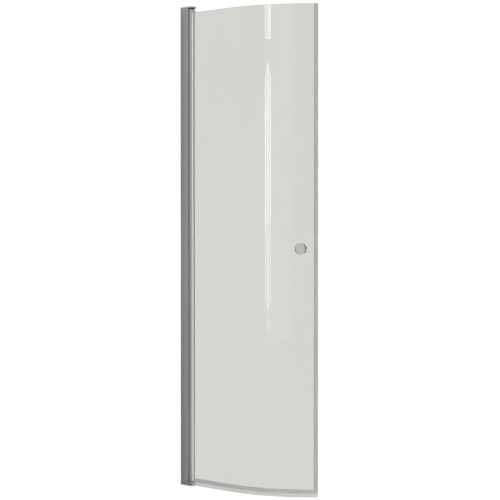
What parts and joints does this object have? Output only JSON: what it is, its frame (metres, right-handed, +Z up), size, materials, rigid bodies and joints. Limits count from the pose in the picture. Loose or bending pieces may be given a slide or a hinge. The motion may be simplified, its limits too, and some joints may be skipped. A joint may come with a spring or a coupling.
{
  "type": "shower door",
  "caption": "Curved glass shower door on an aluminium wall post, with a rising pivot hinge, round knobs, a bottom seal and a magnetic closing edge.",
  "frame": {"origin": "where the wall face, the floor and the post's middle plane meet", "axes": "+Z up, +X out of the wall along the door's straight part, +Y to the inside of the shower; a person outside stands on the -Y side"},
  "size_m": [0.6165, 0.1624, 2],
  "materials": {
    "satin_aluminium": "satin anodised, fine vertical brushing",
    "cast_metal": "satin lacquer on a fine cast grain",
    "grey_plastic": "fine moulded grain",
    "bearing_plastic": "smooth",
    "steel": "turned stainless steel",
    "glass": "clear toughened, polished edges",
    "clear_pvc": "clear, slightly milky",
    "soft_pvc": "soft, translucent",
    "magnet": "matt magnetic rubber",
    "bond_tape": "matt foam",
    "knob_metal": "satin"
  },
  "bodies": {
    "wall_post": {"wall_profile": "satin_aluminium", "hinge_post": "satin_aluminium", "barrel_seal": "soft_pvc", "top_cap": "cast_metal", "cap_screws": "steel", "upper_pivot_pin": "steel", "foot": "cast_metal", "foot_screws": "steel", "lower_bush": "bearing_plastic", "lift_cam": "bearing_plastic", "clamp_screws": "steel", "clamp_covers": "grey_plastic"},
    "lower_pivot": {"lower_pivot_pin": "steel", "pivot_clip": "steel"},
    "door": {"hinge_barrel": "satin_aluminium", "barrel_top_plug": "grey_plastic", "cam_follower": "bearing_plastic", "plug_screws": "steel", "glass_pane": "glass", "setting_blocks": "grey_plastic", "bond_tape": "bond_tape", "glazing_gasket": "clear_pvc", "bottom_seal": "clear_pvc", "bottom_wiper": "soft_pvc", "magnet_seal": "clear_pvc", "magnet_strip": "magnet", "knob_outer": "knob_metal", "knob_inner": "knob_metal", "knob_stud": "steel", "knob_sleeve": "grey_plastic", "knob_washer_outer": "soft_pvc", "knob_washer_inner": "soft_pvc", "knob_grub_screw": "steel"}
  },
  "joints": [
    {"name": "door_swing", "type": "hinge", "parent": "wall_post", "child": "lower_pivot", "pos_m": [0.0505, 0, 0.0185], "axis": [0, 0, -1], "range_deg": [0, 90]},
    {"name": "door_lift", "type": "slide", "parent": "lower_pivot", "child": "door", "axis": [0, 0, 1], "range_m": [0, 0.0035]}
  ],
  "couplings": [
    {"joint": "door_lift", "follows": "door_swing", "m_per_rad": 0.0022282}
  ]
}
